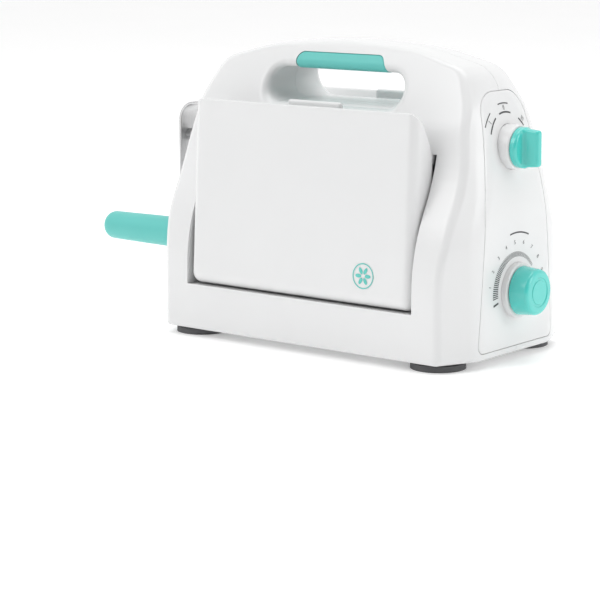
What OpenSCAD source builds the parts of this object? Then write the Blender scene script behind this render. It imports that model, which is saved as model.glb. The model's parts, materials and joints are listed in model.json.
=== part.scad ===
// Hand-cranked die cutting machine: two rollers in a steel frame, a moulded casing with a
// carrying handle, and a fold-down tray door at the front and at the rear.
// X runs along the rollers with the crank at -X and the two knobs at +X, the front is -Y.

/* [Casing] */
// Depth of the casing at its foot, front to rear
body_depth = 172; // [168:1:178]
// Width of the casing across its side panels at the foot
body_width = 312.4; // [308:0.4:320]
// Height of the top of the carrying handle above the table
body_top = 249.6; // [247:0.2:253]
// Height of the underside of the casing above the table
body_bottom = 6.5; // [6:0.5:8]
// Thickness of the moulded walls
wall = 3; // [2.4:0.1:3.2]
// Angle between the corner bands and the sides
band_angle = 25.2; // [23:0.2:27]

/* [Handle] */
// Length of the finger opening under the handle
opening_length = 137; // [130:1:144]
// Height of the finger opening
opening_height = 28; // [26:1:30]
// Length of the soft grip in the handle
grip_length = 94; // [84:1:100]

/* [Doors] */
// Width of each tray door
door_width = 227; // [224:1:228]
// Height of the top edge of the doors
door_top = 199.5; // [198:0.5:200]
// Height of the door hinges
hinge_z = 55.5; // [55:0.1:56]
// Distance of the door hinges from the middle of the machine
hinge_y = 76.3; // [76:0.1:76.5]

/* [Rollers] */
// Diameter of the driven lower roller
lower_roller_d = 40; // [38:0.5:40]
// Diameter of the sprung upper roller
upper_roller_d = 36; // [34:0.5:36]
// Length of both rollers
roller_length = 172; // [160:1:173]
// Gap between the rollers, which takes the plates
nip_gap = 16; // [15:0.5:17]

/* [Crank] */
// Distance from the crank axis down to the hand grip
crank_throw = 89; // [84:1:92]
// Length of the hand grip
hand_grip_length = 94; // [90:1:98]
// Diameter of the hand grip at its outer end
hand_grip_d = 25; // [23:0.5:27]

/* [Controls] */
// Diameter of the selector knob
selector_d = 32.5; // [31:0.5:35]
// Diameter of the fine dial
dial_d = 39; // [36:0.5:40]
// How far the selector lowers the springs at its end stop
selector_lift = 1.5; // [1:0.1:1.6]
// How far the dial lowers the upper roller over its travel
dial_lift = 2; // [1.5:0.1:2.2]

/* [Hidden] */
$fn = 48;

white = "whitesmoke";
mint = "mediumaquamarine";
steel = "silver";
zinc = "lightsteelblue";
brass = "goldenrod";
graphite = "dimgray";

// gaps: between pieces that only touch, of a running fit, and of a piece fixed on another
seam = 0.4;
running = 0.05;
fixed = 0.02;
fillet_step = 6;
half_depth = body_depth / 2;
half_width = body_width / 2;
beyond = 200;

// heights of the shafts, from the foot upwards
dial_z = 57;
lower_roller_z = 56;
nip_z = lower_roller_z + lower_roller_d / 2;
upper_roller_z = nip_z + nip_gap + upper_roller_d / 2;
gear_module = 1.5;
pinion_teeth = 16;
idler_teeth = 42;
roller_teeth = 36;
dial_teeth = 24;
transfer_teeth = 27;
function pitch_r(teeth) = gear_module * teeth / 2;
idler_z = lower_roller_z + pitch_r(roller_teeth) + pitch_r(idler_teeth);
crank_z = idler_z + pitch_r(idler_teeth) + pitch_r(pinion_teeth);
transfer_z = dial_z + pitch_r(dial_teeth) + pitch_r(transfer_teeth);
camshaft_z = transfer_z + pitch_r(transfer_teeth) + pitch_r(dial_teeth);
selector_z = 170;

// crank, measured outwards from the middle of the machine
arm_x = 190;
arm_thick = 2.4;
arm_width = 24;
arm_bend_r = 17;
arm_top_z = 188;
hand_grip_x = arm_x + 3;
crank_reach = hand_grip_x + hand_grip_length;
hand_grip_z = crank_z - crank_throw;

// controls, measured outwards from the middle of the machine
selector_face_x = 157.9;
selector_reach = 176;
dial_face_x = 160.7;
dial_reach = 177;
collar_recess = 12;

// puts the middle of the whole object, crank and knobs included, over the origin
middle_x = (crank_reach - selector_reach) / 2;

// steel frame
frame_x = 100;
frame_thick = 4;
frame_half = 48;
frame_top = 186;
floor_z = body_bottom + wall + 0.2;
base_thick = 3;
frame_foot = floor_z + base_thick;
gear_plate_x = 116;
gear_plate_thick = 3;
gear_plate_half = 28;
tie_rod_d = 8;
tie_rods_at = [[40, 26], [34, 172]];

// rollers, bearing blocks and the parts that press on them
block_x = 88;
block_thick = 9;
block_half = 32;
block_bottom = upper_roller_z - 13;
block_top = upper_roller_z + 16;
cam_x = 89;
cam_thick = 7;
fine_cam_r = 9;
cam_gap = 0.3;
yoke_half = 14;
yoke_window_half = 11.5;
yoke_window_top = camshaft_z + fine_cam_r + cam_gap;
yoke_top = yoke_window_top + 4.5;
preload_bottom = yoke_top + 3;
preload_top = preload_bottom + 5.2;
selector_cam_r = selector_z - preload_top - cam_gap;
spring_y = 24;
spring_d = 9;
spring_wire = 1.4;
spring_turns = 6;
rail_y = block_half + 0.3;

// doors and the panels behind them; y is counted outwards from the middle
door_half = door_width / 2;
nose_r = half_depth + 0.5 - hinge_y;
door_bottom = hinge_z - nose_r;
door_back_y = 56.5;
door_lean_y = 77.9;
door_wall = 3;
liner_thick = 2.5;
liner_top = 155.8;
recess_half = door_half + 1.8;
recess_floor = door_bottom - 0.8;
recess_top = 158;
// slots beside the doors' rounded shoulders
relief_half = door_half - 2;
relief_top = recess_top + 8;
inner_panel_y = 55.5;
inner_panel_thick = 2.5;
mouth_half = 90;
mouth_bottom = 70;
mouth_top = 100;
hinge_pin_d = 5;

// handle opening and grip
opening_bottom = body_top - 24.6 - opening_height;
opening_top = opening_bottom + opening_height;
grip_top = opening_top + 13.4;

// places of repeated fasteners
foot_at = [122, 59];
foot_d = 44;
foot_rim = 4.8;
boss_d = 10;
side_wall_x = 133;
shell_screw_at = [[126, 19.5], [122, 190]];

// ---- outlines with rounded corners: each vertex is [across, up, radius] ----

function unit(v) = v / norm(v);
function flat(v) = [v[0], v[1]];
function short_way(a) = a > 180 ? a - 360 : a < -180 ? a + 360 : a;

function corner(before, at, after, r) =
    let (a = unit(before - at), b = unit(after - at))
    r == 0 || norm(a + b) < 0.001 ? [at] :
    let (half = acos(a * b) / 2,
        centre = at + unit(a + b) * r / sin(half),
        from = at + a * r / tan(half) - centre,
        to = at + b * r / tan(half) - centre,
        first = atan2(from[1], from[0]),
        turn = short_way(atan2(to[1], to[0]) - first),
        steps = max(1, ceil(abs(turn) / fillet_step)))
    [for (i = [0:steps]) centre + r * [cos(first + turn * i / steps),
        sin(first + turn * i / steps)]];

function rounded(points) =
    let (n = len(points))
    [for (i = [0:n - 1]) each corner(flat(points[(i + n - 1) % n]), flat(points[i]),
        flat(points[(i + 1) % n]), points[i][2])];

// closes a right-hand half outline, listed from the bottom up, with its mirror image
function both_halves(half) = concat(half,
    [for (i = [len(half) - 1:-1:0]) [-half[i][0], half[i][1], half[i][2]]]);

// front and rear of the casing: upright, then a bell curve in towards the handle
function side_outline(inset) = rounded(both_halves([
    [half_depth - inset, body_bottom + inset, 1.5],
    [half_depth - inset, 92, 130],
    [57.6 - inset, 146.5, 150],
    [47.9 - inset, 187.7, 80],
    [20.1 - inset, body_top - inset, 15]]));

// seen from the front, down to the side panels; this outline and the next run on below
// the underside and over the top, which the side outline alone cuts off
function front_outline(inset) = rounded(both_halves([
    [half_width - inset, 0, 0],
    [154.6 - inset, 130, 200],
    [146 - inset, 184, 100],
    [132 - inset, 230 - inset / 2, 30],
    [62 - inset, body_top - 2.6 - inset, 100],
    [10, body_top + 0.8 - inset, 100]]));

// seen square to a corner band
function band_outline(inset) = rounded(both_halves([
    [163.3 - inset, 0, 0],
    [163.3 - inset, 100, 120],
    [151.5 - inset, 160, 150],
    [140.5 - inset, 200, 60],
    [121 - inset, 232 - inset / 2, 30],
    [83 - inset, 243.5 - inset, 50],
    [20 - inset, body_top + 1.5 - inset, 30]]));

// half outline of an arched side panel
function panel_outline(grow) = rounded(both_halves([
    [52.5 + grow, 12.5 - grow, 6],
    [42.5 + grow, 125, 150],
    [27.5 + grow, 213.5 + grow, 21]]));

// ---- placing helpers ----

module placed() {
    translate([middle_x, 0, 0]) children();
}

module block(x0, x1, y0, y1, z0, z1) {
    translate([x0, y0, z0]) cube([x1 - x0, y1 - y0, z1 - z0]);
}

module rod(x0, x1, d, z, y = 0) {
    translate([x0, y, z]) rotate([0, 90, 0]) cylinder(h = x1 - x0, d = d);
}

module rod_y(y0, y1, d, x, z) {
    translate([x, y1, z]) rotate([90, 0, 0]) cylinder(h = y1 - y0, d = d);
}

module rod_z(z0, z1, d, x, y) {
    translate([x, y, z0]) cylinder(h = z1 - z0, d = d);
}

module prism_x(x0, x1) {
    translate([x0, 0, 0]) rotate([90, 0, 90]) linear_extrude(x1 - x0) children();
}

module prism_y(y0, y1) {
    translate([0, y1, 0]) rotate([90, 0, 0]) linear_extrude(y1 - y0) children();
}

module left_and_right() {
    children();
    mirror([1, 0, 0]) children();
}

module front_and_rear() {
    children();
    mirror([0, 1, 0]) children();
}

// ---- casing ----

module casing_solid(inset) {
    intersection() {
        prism_x(-beyond, beyond) polygon(side_outline(inset));
        prism_y(-beyond, beyond) polygon(front_outline(inset));
        rotate([0, 0, band_angle]) prism_y(-beyond, beyond) polygon(band_outline(inset));
        rotate([0, 0, -band_angle]) prism_y(-beyond, beyond) polygon(band_outline(inset));
    }
}

module finger_opening(grow) {
    half = opening_length / 2 + grow;
    r = opening_height / 2 + grow - 0.6;
    prism_y(-beyond, beyond) polygon(rounded([
        [-half, opening_bottom - grow, r], [half, opening_bottom - grow, r],
        [half, opening_top + grow, r], [-half, opening_top + grow, r]]));
}

module grip_block(grow) {
    half = grip_length / 2 + grow;
    prism_y(-beyond, beyond) polygon(rounded([
        [-half + 3, opening_top - 0.6, 4],
        [half + 2, opening_top - 0.6, 2],
        [half - 5, grip_top + grow, 6],
        [-half - 2, grip_top + grow, 8]]));
}

module side_opening(grow) {
    prism_x(side_wall_x, beyond) polygon(panel_outline(grow));
}

module boss_rods(d, y0, y1) {
    for (at = shell_screw_at)
        left_and_right() rod_y(y0, y1, d, at[0], at[1]);
}

// one half of the casing, on the +Y side
module half_casing() {
    difference() {
        union() {
            difference() {
                casing_solid(0);
                casing_solid(wall);
            }
            intersection() {
                casing_solid(1);
                union() {
                    finger_opening(wall);
                    boss_rods(boss_d, 0, half_depth);
                    left_and_right() rod_z(body_bottom + 1, 22, boss_d, foot_at[0], foot_at[1]);
                }
            }
        }
        block(-beyond, beyond, -beyond, 0, 0, 300);
        finger_opening(0);
        grip_block(seam);
        left_and_right() side_opening(seam);
        block(-recess_half, recess_half, 50, beyond, recess_floor, recess_top);
        left_and_right()
            block(relief_half, recess_half, 40, beyond, recess_top - 1, relief_top);
        block(-14, 14, 30, 60, 186, 193);
        left_and_right() rod_z(0, 20, 4 + 2 * fixed, foot_at[0], foot_at[1]);
    }
}

module front_shell() {
    color(white) placed() difference() {
        mirror([0, 1, 0]) half_casing();
        boss_rods(3.5 + 2 * fixed, -14, 1);
    }
}

module rear_shell() {
    color(white) placed() difference() {
        half_casing();
        boss_rods(3.7, -1, 10);
        boss_rods(7.8, 3, beyond);
    }
}

module side_panel() {
    intersection() {
        difference() {
            casing_solid(0);
            casing_solid(wall);
        }
        side_opening(0);
    }
}

module left_side_panel() {
    color(white) placed() difference() {
        mirror([1, 0, 0]) side_panel();
        rod(-beyond, -120, 22 + 2 * fixed, crank_z);
        rod(-beyond, -150.5 + fixed, 27 + 2 * running, crank_z);
    }
}

module right_side_panel() {
    color(white) placed() difference() {
        side_panel();
        rod(120, beyond, selector_collar_d() + 2 * running, selector_z);
        rod(120, beyond, dial_collar_d() + 2 * running, dial_z);
    }
}

module handle_grip() {
    color(mint) placed() intersection() {
        casing_solid(0);
        grip_block(0);
    }
}

module feet() {
    color(graphite) placed() left_and_right() front_and_rear() difference() {
        union() {
            rod_z(0, foot_rim, foot_d, foot_at[0], foot_at[1]);
            rod_z(foot_rim, body_bottom, foot_d - 8, foot_at[0], foot_at[1]);
        }
        rod_z(-1, 3.6, 10, foot_at[0], foot_at[1]);
        rod_z(0, 9, 4.4, foot_at[0], foot_at[1]);
    }
}

module foot_screws() {
    color(zinc) placed() left_and_right() front_and_rear() difference() {
        union() {
            rod_z(1.3, 3.6, 8, foot_at[0], foot_at[1]);
            rod_z(3.6, 17, 4, foot_at[0], foot_at[1]);
        }
        translate([foot_at[0], foot_at[1], 1]) block(-3, 3, -0.5, 0.5, 0, 1.5);
        translate([foot_at[0], foot_at[1], 1]) block(-0.5, 0.5, -3, 3, 0, 1.5);
    }
}

module shell_screws() {
    color(zinc) placed() for (at = shell_screw_at) left_and_right() difference() {
        union() {
            rod_y(3, 6, 7, at[0], at[1]);
            rod_y(-12, 3, 3.5, at[0], at[1]);
        }
        translate([at[0], 5, at[1]]) block(-2.6, 2.6, 0, 2, -0.5, 0.5);
        translate([at[0], 5, at[1]]) block(-0.5, 0.5, 0, 2, -2.6, 2.6);
    }
}

// ---- steel frame ----

module base_plate() {
    color(zinc) placed() difference() {
        block(-108, 108, -frame_half, frame_half, floor_z, frame_foot);
        for (x = [-60, 0, 60]) rod_z(0, 20, 16, x, 0);
    }
}

function frame_outline() = rounded(both_halves([
    [frame_half, frame_foot, 2],
    [frame_half, 150, 10],
    [36, frame_top, 8]]));

// the plate on the +X side, with bearing holes, rails for the blocks and tabs for the bed
module frame_plate() {
    difference() {
        prism_x(frame_x, frame_x + frame_thick) polygon(frame_outline());
        rod(0, beyond, 18 + 2 * fixed, lower_roller_z);
        for (at = tie_rods_at, side = [-1, 1]) rod(0, beyond, 4.2, at[1], side * at[0]);
    }
    front_and_rear() {
        block(block_x + 2, frame_x, rail_y, rail_y + 5, block_bottom, preload_top + 3);
        block(block_x + 2, frame_x, 36, frame_half, 68, nip_z - 3.6);
    }
}

module left_frame_plate() {
    color(zinc) placed() difference() {
        mirror([1, 0, 0]) frame_plate();
        rod(-beyond, 0, 8 + 2 * running, camshaft_z);
        rod(-beyond, 0, 10 + 2 * running, selector_z);
        rod(-beyond, 0, 8 + 2 * fixed, idler_z);
    }
}

module right_frame_plate() {
    color(zinc) placed() difference() {
        frame_plate();
        rod(0, beyond, 8 + 2 * running, camshaft_z);
        rod(0, beyond, 10 + 2 * running, selector_z);
        rod(0, beyond, 8 + 2 * fixed, transfer_z);
    }
}

module tie_rods() {
    color(steel) placed() for (at = tie_rods_at) front_and_rear() difference() {
        rod(-frame_x, frame_x, tie_rod_d, at[1], at[0]);
        left_and_right() rod(frame_x - 14, frame_x + 1, 4 + 2 * fixed, at[1], at[0]);
    }
}

module frame_screws() {
    outer = frame_x + frame_thick;
    color(zinc) placed() for (at = tie_rods_at) left_and_right() front_and_rear() difference() {
        union() {
            rod(outer, outer + 3, 8, at[1], at[0]);
            rod(frame_x - 12, outer, 4, at[1], at[0]);
        }
        translate([outer + 2, at[0], at[1]]) rotate([0, 90, 0]) cylinder(h = 2, d = 4, $fn = 6);
    }
}

function spacer_at(bottom, top) = [[23.5, bottom + 5], [23.5, top - 6]];
crank_plate_span = [40, crank_z + 24];
dial_plate_span = [38, camshaft_z + 19];

module gear_plate(span) {
    prism_x(gear_plate_x, gear_plate_x + gear_plate_thick) polygon(rounded([
        [-gear_plate_half, span[0], 6], [gear_plate_half, span[0], 6],
        [gear_plate_half, span[1], 6], [-gear_plate_half, span[1], 6]]));
}

module crank_gear_plate() {
    color(zinc) placed() mirror([1, 0, 0]) difference() {
        gear_plate(crank_plate_span);
        rod(0, beyond, 16 + 2 * fixed, crank_z);
        rod(0, beyond, 8 + 2 * fixed, idler_z);
        rod(0, beyond, 20, lower_roller_z);
    }
}

module dial_gear_plate() {
    color(zinc) placed() difference() {
        gear_plate(dial_plate_span);
        rod(0, beyond, 8 + 2 * running, dial_z);
        rod(0, beyond, 8 + 2 * fixed, transfer_z);
        rod(0, beyond, 8 + 2 * running, camshaft_z);
    }
}

module plate_spacers() {
    inner = frame_x + frame_thick;
    color(steel) placed() front_and_rear() {
        for (at = spacer_at(crank_plate_span[0], crank_plate_span[1]))
            rod(-gear_plate_x, -inner, 7, at[1], at[0]);
        for (at = spacer_at(dial_plate_span[0], dial_plate_span[1]))
            rod(inner, gear_plate_x, 7, at[1], at[0]);
    }
}

// tray-shaped panel behind a door, on the +Y side, with the mouth for the plates
module inner_panel() {
    outer_half = recess_half + 2.5;
    back_y = inner_panel_y - inner_panel_thick;
    difference() {
        union() {
            intersection() {
                casing_solid(wall + 0.2);
                block(-outer_half, outer_half, back_y, beyond, recess_floor - 2.8, 132);
            }
            intersection() {
                casing_solid(0.1);
                block(-relief_half, relief_half, back_y, inner_panel_y + 1, 100,
                    recess_top - seam);
            }
        }
        block(-recess_half, recess_half, inner_panel_y, beyond, recess_floor - 0.3, beyond);
        prism_y(40, 70) polygon(rounded([
            [-mouth_half, mouth_bottom, 5], [mouth_half, mouth_bottom, 5],
            [mouth_half, mouth_top, 5], [-mouth_half, mouth_top, 5]]));
        rod(-beyond, beyond, hinge_pin_d + 2 * fixed, hinge_z, hinge_y);
    }
}

module front_inner_panel() {
    color(white) placed() mirror([0, 1, 0]) inner_panel();
}

module rear_inner_panel() {
    color(white) placed() inner_panel();
}

module hinge_pins() {
    color(steel) placed() left_and_right() front_and_rear()
        rod(door_half - 5, recess_half + 5, hinge_pin_d, hinge_z, hinge_y);
}

module platform_bed() {
    color(steel) placed() difference() {
        block(-frame_x + 0.2, frame_x - 0.2, -50, 50, nip_z - 3.5, nip_z - 0.5);
        block(-roller_length / 2 - 1.5, roller_length / 2 + 1.5, -14, 14, 0, 100);
    }
}

// ---- bearings ----

module bush(x0, x1, outer_d, flange_d, bore_d, z) {
    difference() {
        union() {
            rod(x0, x1, outer_d, z);
            rod(x1, x1 + 1.5, flange_d, z);
        }
        rod(x0 - 1, x1 + 3, bore_d + 2 * running, z);
    }
}

module roller_bushes() {
    color(brass) placed() left_and_right()
        bush(frame_x - 2, frame_x + frame_thick, 18, 21, 12, lower_roller_z);
}

module crank_bushes() {
    color(brass) placed() mirror([1, 0, 0]) {
        bush(gear_plate_x - 2, gear_plate_x + gear_plate_thick, 16, 20, 10, crank_z);
        bush(142, 150.5, 22, 27, 10, crank_z);
    }
}

module idler_axle() {
    color(steel) placed() rod(-134, -frame_x - 0.5, 8, idler_z);
}

module transfer_axle() {
    color(steel) placed() rod(frame_x + 0.5, gear_plate_x + gear_plate_thick, 8, transfer_z);
}

module axle_clip() {
    color(steel) placed() difference() {
        rod(-132.8, -131.6, 14, idler_z);
        rod(-135, -130, 8 + 2 * fixed, idler_z);
    }
}

function selector_collar_d() = selector_d + 3;
function dial_collar_d() = dial_d + 4.5;

// a ring set in the side panel, hollow behind
module collar(face_x, d, bore_d, z) {
    difference() {
        rod(face_x - collar_recess, face_x, d, z);
        rod(face_x - collar_recess - 1, face_x - 3, d - 5, z);
        rod(0, beyond, bore_d, z);
    }
}

module selector_collar() {
    color(white) placed() collar(selector_face_x - 0.4, selector_collar_d(), 10.6, selector_z);
}

module dial_collar() {
    color(white) placed() collar(dial_face_x - 0.4, dial_collar_d(), 8.6, dial_z);
}

// ---- gears ----

pressure_angle = 20;
backlash = 0.14;
function involute(cos_a) = tan(acos(cos_a)) * 180 / PI - acos(cos_a);

// half the angle that a tooth fills at radius r
function tooth_half(teeth, r) =
    let (pitch = pitch_r(teeth), base = pitch * cos(pressure_angle))
    90 / teeth - backlash / pitch * 180 / PI / 2
    + involute(cos(pressure_angle)) - involute(min(1, base / r));

function gear_points(teeth) =
    let (pitch = pitch_r(teeth), root = pitch - 1.25 * gear_module,
        tip = pitch + 0.92 * gear_module, low = max(root + 0.2, pitch * cos(pressure_angle)),
        flank = [root, low, (low + pitch) / 2, pitch, (pitch + tip) / 2, tip])
    [for (i = [0:teeth - 1], side = [-1, 1], k = [0:5])
        let (r = side < 0 ? flank[k] : flank[5 - k],
            a = i * 360 / teeth + side * tooth_half(teeth, max(r, low)))
        r * [cos(a), sin(a)]];

// a spur gear along X from x0 to x1, turned by a, with a hub out to x2
module gear(teeth, x0, x1, hub_x0, hub_x1, hub_d, bore_d, z, a = 0) {
    difference() {
        union() {
            translate([0, 0, z]) prism_x(x0, x1) rotate(a) polygon(gear_points(teeth));
            rod(hub_x0, hub_x1, hub_d, z);
        }
        rod(x0 - 50, x1 + 50, bore_d, z);
    }
}

module lightening_holes(teeth, count, x0, x1, z) {
    ring_r = pitch_r(teeth) * 0.62;
    for (i = [0:count - 1])
        rod(x0, x1, pitch_r(teeth) * 0.36, z + ring_r * cos(i * 360 / count),
            ring_r * sin(i * 360 / count));
}

module crank_pinion() {
    color(steel) placed()
        gear(pinion_teeth, -132, -122, -135, -121.2, 17, 10 + 2 * fixed, crank_z);
}

module idler_gear() {
    color(steel) placed() difference() {
        gear(idler_teeth, -131, -123, -131, -119.4, 18, 8 + 2 * running, idler_z);
        lightening_holes(idler_teeth, 6, -132, -122, idler_z);
    }
}

module lower_roller_gear() {
    color(steel) placed() difference() {
        gear(roller_teeth, -132, -122, -134, -120, 18, 12 + 2 * fixed, lower_roller_z);
        lightening_holes(roller_teeth, 5, -133, -121, lower_roller_z);
    }
}

gear_x0 = 107;
gear_x1 = 113;

module dial_gear() {
    color(brass) placed()
        gear(dial_teeth, gear_x0, gear_x1, gear_x0, gear_x1 + 2, 14, 8 + 2 * fixed, dial_z);
}

module transfer_gear() {
    color(brass) placed() difference() {
        gear(transfer_teeth, gear_x0, gear_x1, gear_x0 - 2, gear_x1 + 2, 13,
            8 + 2 * running, transfer_z, -180 / transfer_teeth / 2);
        lightening_holes(transfer_teeth, 6, 100, 120, transfer_z);
    }
}

module fine_cam_gear() {
    color(brass) placed()
        gear(dial_teeth, gear_x0, gear_x1, gear_x0 - 2, gear_x1, 14, 8 + 2 * fixed,
            camshaft_z, 180 / dial_teeth);
}

// ---- crank ----

module crank_shaft() {
    color(steel) placed() difference() {
        rod(-arm_x + arm_thick, -112, 10, crank_z);
        rod(-arm_x, -arm_x + 24, 6 + 2 * fixed, crank_z);
    }
}

module crank_hub() {
    color(white) placed() difference() {
        rod(-176, -153, 24, crank_z);
        rod(-beyond, 0, 10 + 2 * fixed, crank_z);
    }
}

// a flat bar, bent over at the top towards the casing
module crank_arm() {
    foot_z = hand_grip_z - arm_width / 2;
    bend_z = arm_top_z - arm_bend_r;
    color(steel) placed() difference() {
        intersection() {
            union() {
                block(-arm_x, -arm_x + arm_thick, -arm_width / 2, arm_width / 2, foot_z, bend_z);
                intersection() {
                    translate([-arm_x + arm_bend_r, arm_width / 2, bend_z]) rotate([90, 0, 0])
                        difference() {
                            cylinder(h = arm_width, r = arm_bend_r);
                            translate([0, 0, -1])
                                cylinder(h = arm_width + 2, r = arm_bend_r - arm_thick);
                        }
                    block(-arm_x, -arm_x + arm_bend_r, -20, 20, bend_z, arm_top_z);
                }
                block(-arm_x + arm_bend_r, -160, -arm_width / 2, arm_width / 2,
                    arm_top_z - arm_thick, arm_top_z);
            }
            union() {
                rod(-beyond, 0, arm_width, hand_grip_z);
                block(-beyond, 0, -20, 20, hand_grip_z, beyond);
            }
        }
        rod(-beyond, 0, 6.2, crank_z);
        rod(-beyond, 0, 8 + 2 * fixed, hand_grip_z);
    }
}

module crank_bolt() {
    color(zinc) placed() difference() {
        union() {
            rod(-arm_x - 4, -arm_x, 14, crank_z);
            rod(-arm_x, -arm_x + 20, 6, crank_z);
        }
        translate([-arm_x - 5, 0, crank_z]) rotate([0, 90, 0]) cylinder(h = 3.5, d = 6, $fn = 6);
    }
}

module grip_spindle() {
    color(steel) placed() {
        rod(-crank_reach + 6, -arm_x + arm_thick + 1.5, 8, hand_grip_z);
        rod(-hand_grip_x + 0.3, -arm_x - 0.1, 18, hand_grip_z);
    }
}

module crank_grip() {
    r = hand_grip_d / 2;
    color(mint) placed() difference() {
        translate([0, 0, hand_grip_z]) rotate([0, -90, 0]) rotate_extrude() polygon(rounded([
            [0, hand_grip_x, 0], [r + 1.3, hand_grip_x, 1.5], [r, crank_reach, 9.5],
            [0, crank_reach, 0]]));
        rod(-crank_reach + 5.5, 0, 8 + 2 * running, hand_grip_z);
    }
}

// ---- rollers ----

module lower_roller() {
    half = roller_length / 2;
    color(steel) placed() difference() {
        rod(-half, half, lower_roller_d, lower_roller_z);
        rod(-half + 8, half - 8, lower_roller_d - 8, lower_roller_z);
        rod(-beyond, beyond, 12 + 2 * fixed, lower_roller_z);
    }
}

module lower_roller_shaft() {
    color(steel) placed() rod(-135, frame_x + frame_thick + 1, 12, lower_roller_z);
}

module upper_roller() {
    half = roller_length / 2;
    color(steel) placed() difference() {
        rod(-half, half, upper_roller_d, upper_roller_z);
        rod(-half + 8, half - 8, upper_roller_d - 8, upper_roller_z);
        rod(-beyond, beyond, 10 + 2 * fixed, upper_roller_z);
    }
}

module upper_roller_shaft() {
    end = block_x + block_thick + 0.5;
    color(steel) placed() rod(-end, end, 10, upper_roller_z);
}

// blocks that carry the upper roller; each hangs on a fine cam by the yoke above it
module bearing_blocks() {
    color(graphite) placed() left_and_right() {
        difference() {
            union() {
                block(block_x, block_x + block_thick, -block_half, block_half,
                    block_bottom, block_top);
                block(block_x, block_x + block_thick, -yoke_half, yoke_half,
                    block_top - 1, yoke_top);
            }
            block(0, beyond, -yoke_window_half, yoke_window_half,
                camshaft_z - fine_cam_r - 1, yoke_window_top);
            rod(0, beyond, 10 + 2 * running, upper_roller_z);
        }
        front_and_rear()
            rod_z(block_top, block_top + 8, 5, block_x + block_thick / 2, spring_y);
    }
}

module carriage_tie_bars() {
    color(steel) placed() front_and_rear()
        block(-block_x, block_x, 24, 30, block_top - 8, block_top - 1);
}

// one coil spring: a ring of points carried round and up in even steps
module coil(radius, wire, height, turns) {
    around = 12;
    sides = 6;
    rings = turns * around;
    points = [for (i = [0:rings], k = [0:sides - 1])
        let (a = 360 * i / around, out = radius + wire / 2 * cos(360 * k / sides),
            up = height * i / rings + wire / 2 * sin(360 * k / sides))
        [out * cos(a), out * sin(a), up]];
    skin = [for (i = [0:rings - 1], k = [0:sides - 1])
        [i * sides + k, (i + 1) * sides + k, (i + 1) * sides + (k + 1) % sides,
            i * sides + (k + 1) % sides]];
    first = [[for (k = [0:sides - 1]) k]];
    last = [[for (k = [sides - 1:-1:0]) rings * sides + k]];
    polyhedron(points = points, faces = concat(skin, first, last));
}

module pressure_springs() {
    height = preload_bottom - block_top - spring_wire - 0.2;
    color(steel) placed() left_and_right() front_and_rear()
        translate([block_x + block_thick / 2, spring_y, block_top + spring_wire / 2 + 0.1])
            coil((spring_d - spring_wire) / 2, spring_wire, height, spring_turns);
}

module preload_frame() {
    half = block_half - 0.3;
    end = block_x + block_thick;
    color(zinc) placed() difference() {
        block(-end, end, -half, half, preload_bottom, preload_top);
        block(-block_x + 1, block_x - 1, -half + 8, half - 8, 0, beyond);
    }
}

// ---- selector ----

// radius of a selector cam, at an angle from straight down
function selector_cam(a) = selector_cam_r - selector_lift * max(-70, min(70, a)) / 45;

module selector_cams() {
    outline = [for (a = [-175:5:180])
        selector_cam(abs(a) > 100 ? a * (180 - abs(a)) / 80 : a) * [sin(a), -cos(a)]];
    color(steel) placed() translate([0, 0, selector_z]) left_and_right() difference() {
        prism_x(cam_x, cam_x + cam_thick) polygon(outline);
        rod(0, beyond, 10 + 2 * fixed, 0);
    }
}

module selector_shaft() {
    color(steel) placed() rod(-frame_x - 6, selector_face_x + 4.3, 10, selector_z);
}

module selector_knob() {
    bar_half = 5;
    bar_z = selector_d / 2;
    color(mint) placed() translate([0, 0, selector_z]) difference() {
        union() {
            rod(selector_face_x, selector_face_x + 5.5, selector_d, 0);
            intersection() {
                prism_y(-bar_half, bar_half) polygon([
                    [selector_face_x + 5, -bar_z], [selector_reach, -bar_z + 2],
                    [selector_reach, bar_z - 2], [selector_face_x + 5, bar_z]]);
                rod(0, beyond, selector_d, 0);
            }
        }
        rod(0, selector_face_x + 4.5, 10 + 2 * fixed, 0);
    }
}

// ---- fine dial ----

module dial_knob() {
    r = dial_d / 2;
    rim = 3;
    color(mint) placed() translate([0, 0, dial_z]) difference() {
        rotate([0, 90, 0]) rotate_extrude() polygon(rounded([
            [0, dial_face_x, 0], [r, dial_face_x, 0], [r - 1, dial_reach, rim],
            [0, dial_reach, 0]]));
        rotate([0, 90, 0]) translate([0, 0, dial_reach - 0.6]) difference() {
            cylinder(h = 2, r = 11);
            translate([0, 0, -1]) cylinder(h = 4, r = 9);
        }
        rod(0, dial_reach - 4.9, 8 + 2 * fixed, 0);
    }
}

module dial_shaft() {
    color(steel) placed() rod(gear_x0 - 1, dial_reach - 5, 8, dial_z);
}

module fine_camshaft() {
    color(steel) placed() rod(-frame_x - frame_thick - 1, gear_plate_x + 2, 8, camshaft_z);
}

// radius of a fine cam, at an angle back from straight up; it steps back after the travel
function fine_cam(back) = back < 300 ? fine_cam_r - dial_lift * back / 270
    : fine_cam(299.9) + (fine_cam_r - fine_cam(299.9)) * (back - 300) / 60;

module fine_cams() {
    outline = [for (back = [0:5:355]) fine_cam(back) * [sin(back), cos(back)]];
    color(steel) placed() translate([0, 0, camshaft_z]) for (x = [-cam_x - cam_thick, cam_x])
        difference() {
            prism_x(x, x + cam_thick) polygon(outline);
            rod(-beyond, beyond, 8 + 2 * fixed, 0);
        }
}

// ---- doors, drawn on the +Y side ----

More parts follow.
